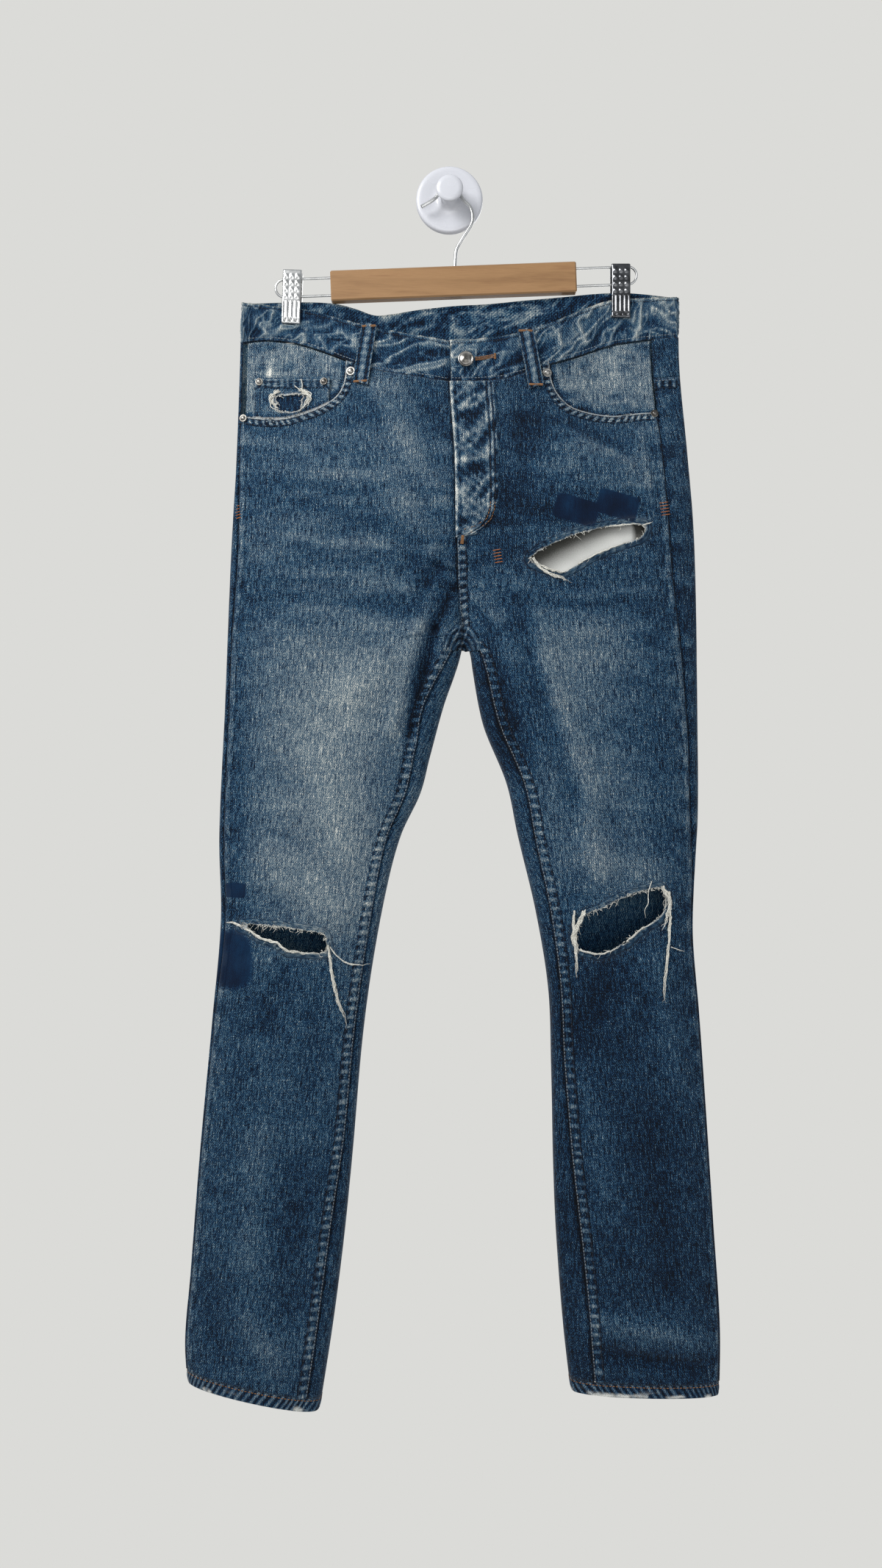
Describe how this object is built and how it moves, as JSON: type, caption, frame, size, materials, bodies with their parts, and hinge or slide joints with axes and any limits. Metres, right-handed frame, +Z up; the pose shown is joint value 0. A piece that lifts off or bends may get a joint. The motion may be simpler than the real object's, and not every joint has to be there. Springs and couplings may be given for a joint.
{
  "type": "ripped jeans on clip hanger and wall hook",
  "caption": "Washed slim jeans with torn knees and thigh, hung flat by the waistband in the clips of a wooden bar hanger on a round wall hook",
  "frame": {"origin": "centre of the wall hook's back face, on the wall", "axes": "+X to the right seen from the front, +Y into the wall, +Z up"},
  "size_m": [0.5084, 0.0533, 1.1977],
  "materials": {
    "denim_washed": "indigo twill, stone washed, pale thighs",
    "denim_dark": "indigo twill, darker, roped edges",
    "pocket_cotton": "plain white cotton",
    "white_thread": "loose white weft threads",
    "aged_nickel": "aged nickel plate",
    "bright_chrome": "polished",
    "dark_chrome": "darkened chrome",
    "maple": "clear satin varnish",
    "white_plastic": "gloss moulded"
  },
  "bodies": {
    "root": {"waistband": "denim_dark", "fly_shield": "denim_dark", "front_right": "denim_washed", "front_left": "denim_washed", "back_right": "denim_washed", "back_left": "denim_washed", "yoke_right": "denim_washed", "yoke_left": "denim_washed", "back_pocket_left": "denim_washed", "back_pocket_right": "denim_washed", "belt_loop_back_centre": "denim_dark", "belt_loop_back_left": "denim_dark", "belt_loop_back_right": "denim_dark", "belt_loop_front_left": "denim_dark", "belt_loop_front_right": "denim_dark", "clip_left_back": "dark_chrome", "clip_left_front": "dark_chrome", "clip_left_spring": "dark_chrome", "clip_right_back": "bright_chrome", "clip_right_front": "bright_chrome", "clip_right_spring": "bright_chrome", "coin_pocket": "denim_dark", "fray_knee_left_inner": "white_thread", "fray_knee_left_outer": "white_thread", "fray_knee_right": "white_thread", "fray_thigh_left": "white_thread", "hanger_bar": "maple", "hanger_hook": "bright_chrome", "hem_left": "denim_dark", "hem_right": "denim_dark", "pocket_bag_left": "pocket_cotton", "pocket_facing_left": "denim_washed", "pocket_facing_right": "denim_washed", "rivet_coin_inner": "aged_nickel", "rivet_coin_outer": "aged_nickel", "rivet_left_side": "aged_nickel", "rivet_left_waist": "aged_nickel", "rivet_right_side": "aged_nickel", "rivet_right_waist": "aged_nickel", "rod_left": "bright_chrome", "rod_right": "bright_chrome", "waist_button": "aged_nickel", "wall_plate": "white_plastic"}
  },
  "joints": []
}
